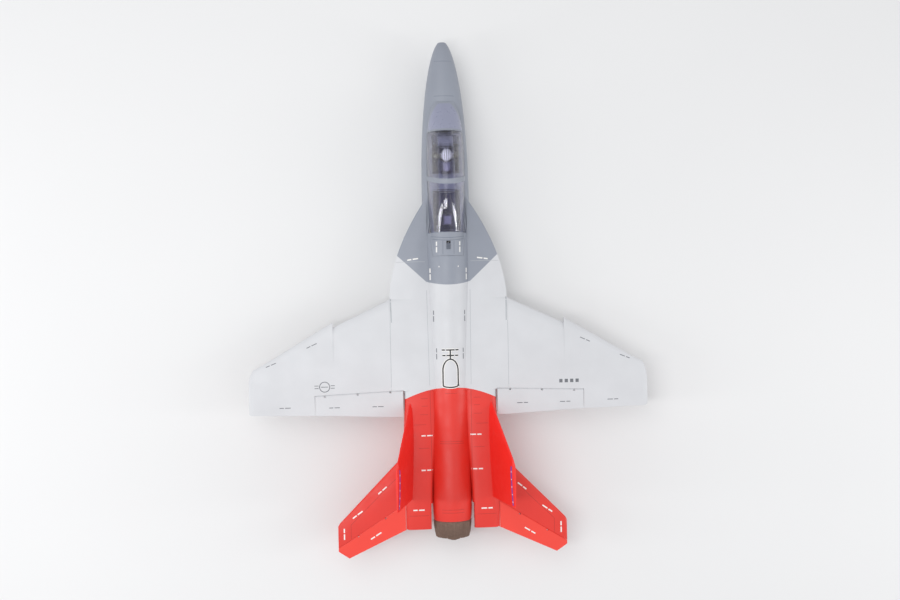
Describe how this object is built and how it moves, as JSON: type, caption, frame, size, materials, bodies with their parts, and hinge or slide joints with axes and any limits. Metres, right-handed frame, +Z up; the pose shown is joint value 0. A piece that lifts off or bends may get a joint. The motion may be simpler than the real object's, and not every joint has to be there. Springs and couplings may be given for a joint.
{
  "type": "ducted fan model jet",
  "caption": "Foam radio-controlled jet with twin canted fins, dogtooth wings, hinged ailerons and elevators, a lift-off canopy hatch and a ducted fan inside.",
  "frame": {"origin": "centre of the bounding box on the ground plane, under the belly", "axes": "nose towards -Y, the pilot's left towards +X, +Z up"},
  "size_m": [0.8, 1.032, 0.2005],
  "materials": {
    "foam_dark_grey": "painted foam, satin",
    "foam_light_grey": "painted foam, satin",
    "foam_red": "painted foam, satin",
    "canopy_clear": "tinted, glossy",
    "canopy_frame": "painted, satin",
    "cockpit_grey": "matt",
    "seat_black": "matt",
    "pilot_paint": "painted",
    "black_plastic": "moulded",
    "nylon_white": "moulded",
    "nozzle_metallic": "metallic paint, brown-grey",
    "duct_plastic": "thin sheet",
    "fan_plastic": "glass-filled, moulded",
    "motor_metal": "anodised",
    "steel_wire": "bright",
    "carbon": "pultruded",
    "battery_wrap": "shrink wrap",
    "plywood": "bare plywood",
    "strap_fabric": "woven",
    "servo_case": "moulded"
  },
  "bodies": {
    "airframe": {"nose_cone": "foam_dark_grey", "forward_fuselage": "foam_dark_grey", "centre_fuselage": "foam_light_grey", "rear_fuselage": "foam_red", "fan_hatch": "foam_light_grey", "battery_tray": "plywood", "battery": "battery_wrap", "battery_strap": "strap_fabric", "speed_controller": "black_plastic", "receiver": "black_plastic", "intake_duct_left": "duct_plastic", "intake_duct_right": "duct_plastic", "fan_housing": "fan_plastic", "fan_motor": "motor_metal", "thrust_tube": "duct_plastic", "exhaust_nozzle": "nozzle_metallic", "wing_left": "foam_light_grey", "wing_right": "foam_light_grey", "wing_spars": "carbon", "wing_screws": "black_plastic", "stab_left": "foam_red", "stab_right": "foam_red", "fin_left": "foam_red", "fin_right": "foam_red", "aileron_servo_left": "servo_case", "aileron_servo_right": "servo_case", "elevator_servo_left": "servo_case", "elevator_servo_right": "servo_case", "aileron_hinges_left": "nylon_white", "aileron_hinges_right": "nylon_white", "elevator_hinges_left": "nylon_white", "elevator_hinges_right": "nylon_white"},
    "canopy_hatch": {"canopy_frame": "canopy_frame", "windscreen": "canopy_frame", "canopy_glass": "canopy_clear", "cockpit_tub": "cockpit_grey", "front_seat": "seat_black", "rear_seat": "seat_black", "pilot_figure": "pilot_paint", "latch_spring": "steel_wire"},
    "latch": {"canopy_latch": "black_plastic"},
    "fan": {"fan_rotor": "fan_plastic", "fan_spinner": "fan_plastic", "motor_shaft": "steel_wire"},
    "aileron_left": {"aileron_left": "foam_light_grey", "aileron_horn_left": "nylon_white"},
    "aileron_left_arm": {"aileron_servo_arm_left": "nylon_white"},
    "aileron_left_rod": {"aileron_pushrod_left": "steel_wire"},
    "aileron_right": {"aileron_right": "foam_light_grey", "aileron_horn_right": "nylon_white"},
    "aileron_right_arm": {"aileron_servo_arm_right": "nylon_white"},
    "aileron_right_rod": {"aileron_pushrod_right": "steel_wire"},
    "elevator_left": {"elevator_left": "foam_red", "elevator_horn_left": "nylon_white"},
    "elevator_left_arm": {"elevator_servo_arm_left": "nylon_white"},
    "elevator_left_rod": {"elevator_pushrod_left": "steel_wire"},
    "elevator_right": {"elevator_right": "foam_red", "elevator_horn_right": "nylon_white"},
    "elevator_right_arm": {"elevator_servo_arm_right": "nylon_white"},
    "elevator_right_rod": {"elevator_pushrod_right": "steel_wire"}
  },
  "joints": [
    {"name": "aileron_left_hinge", "type": "hinge", "parent": "airframe", "child": "aileron_left", "pos_m": [0.15, 0.1897, 0.084], "axis": [0.9992, 0.0393, 0], "range_deg": [-20, 20]},
    {"name": "aileron_left_arm_turn", "type": "hinge", "parent": "airframe", "child": "aileron_left_arm", "pos_m": [0.15134, 0.15573, 0.0806], "axis": [0.9992, 0.0393, 0], "range_deg": [-20, 20]},
    {"name": "aileron_left_rod_turn", "type": "hinge", "parent": "aileron_left_arm", "child": "aileron_left_rod", "pos_m": [0.15134, 0.15573, 0.0686], "axis": [0.9992, 0.0393, 0], "range_deg": [-20, 20]},
    {"name": "aileron_right_hinge", "type": "hinge", "parent": "airframe", "child": "aileron_right", "pos_m": [-0.15, 0.1897, 0.084], "axis": [0.9992, -0.0393, 0], "range_deg": [-20, 20]},
    {"name": "aileron_right_arm_turn", "type": "hinge", "parent": "airframe", "child": "aileron_right_arm", "pos_m": [-0.15134, 0.15573, 0.0806], "axis": [0.9992, -0.0393, 0], "range_deg": [-20, 20]},
    {"name": "aileron_right_rod_turn", "type": "hinge", "parent": "aileron_right_arm", "child": "aileron_right_rod", "pos_m": [-0.15134, 0.15573, 0.0686], "axis": [0.9992, -0.0393, 0], "range_deg": [-20, 20]},
    {"name": "elevator_left_hinge", "type": "hinge", "parent": "airframe", "child": "elevator_left", "pos_m": [0.112, 0.42522, 0.084], "axis": [0.8487, 0.5289, 0], "range_deg": [-20, 20]},
    {"name": "elevator_left_arm_turn", "type": "hinge", "parent": "airframe", "child": "elevator_left_arm", "pos_m": [0.12787, 0.39976, 0.0806], "axis": [0.8487, 0.5289, 0], "range_deg": [-20, 20]},
    {"name": "elevator_left_rod_turn", "type": "hinge", "parent": "elevator_left_arm", "child": "elevator_left_rod", "pos_m": [0.12787, 0.39976, 0.0686], "axis": [0.8487, 0.5289, 0], "range_deg": [-20, 20]},
    {"name": "elevator_right_hinge", "type": "hinge", "parent": "airframe", "child": "elevator_right", "pos_m": [-0.112, 0.42522, 0.084], "axis": [0.8487, -0.5289, 0], "range_deg": [-20, 20]},
    {"name": "elevator_right_arm_turn", "type": "hinge", "parent": "airframe", "child": "elevator_right_arm", "pos_m": [-0.12787, 0.39976, 0.0806], "axis": [0.8487, -0.5289, 0], "range_deg": [-20, 20]},
    {"name": "elevator_right_rod_turn", "type": "hinge", "parent": "elevator_right_arm", "child": "elevator_right_rod", "pos_m": [-0.12787, 0.39976, 0.0686], "axis": [0.8487, -0.5289, 0], "range_deg": [-20, 20]},
    {"name": "canopy_lift", "type": "slide", "parent": "airframe", "child": "canopy_hatch", "axis": [0, 0, 1], "range_m": [0, 0.1]},
    {"name": "latch_slide", "type": "slide", "parent": "canopy_hatch", "child": "latch", "axis": [0, -0.9724, 0.2334], "range_m": [0, 0.003], "stiffness_N_per_m": 60, "springref_m": -0.002, "deforming": ["latch_spring"]},
    {"name": "fan_spin", "type": "hinge", "parent": "airframe", "child": "fan", "pos_m": [0, 0.113, 0.065], "axis": [0, 1, 0], "continuous": true}
  ],
  "couplings": [
    {"joint": "aileron_left_arm_turn", "follows": "aileron_left_hinge", "ratio": 1},
    {"joint": "aileron_left_rod_turn", "follows": "aileron_left_hinge", "ratio": -1},
    {"joint": "aileron_right_hinge", "follows": "aileron_left_hinge", "ratio": -1},
    {"joint": "aileron_right_arm_turn", "follows": "aileron_left_hinge", "ratio": -1},
    {"joint": "aileron_right_rod_turn", "follows": "aileron_left_hinge", "ratio": 1},
    {"joint": "elevator_left_arm_turn", "follows": "elevator_left_hinge", "ratio": 1},
    {"joint": "elevator_left_rod_turn", "follows": "elevator_left_hinge", "ratio": -1},
    {"joint": "elevator_right_hinge", "follows": "elevator_left_hinge", "ratio": 1},
    {"joint": "elevator_right_arm_turn", "follows": "elevator_left_hinge", "ratio": 1},
    {"joint": "elevator_right_rod_turn", "follows": "elevator_left_hinge", "ratio": -1}
  ]
}
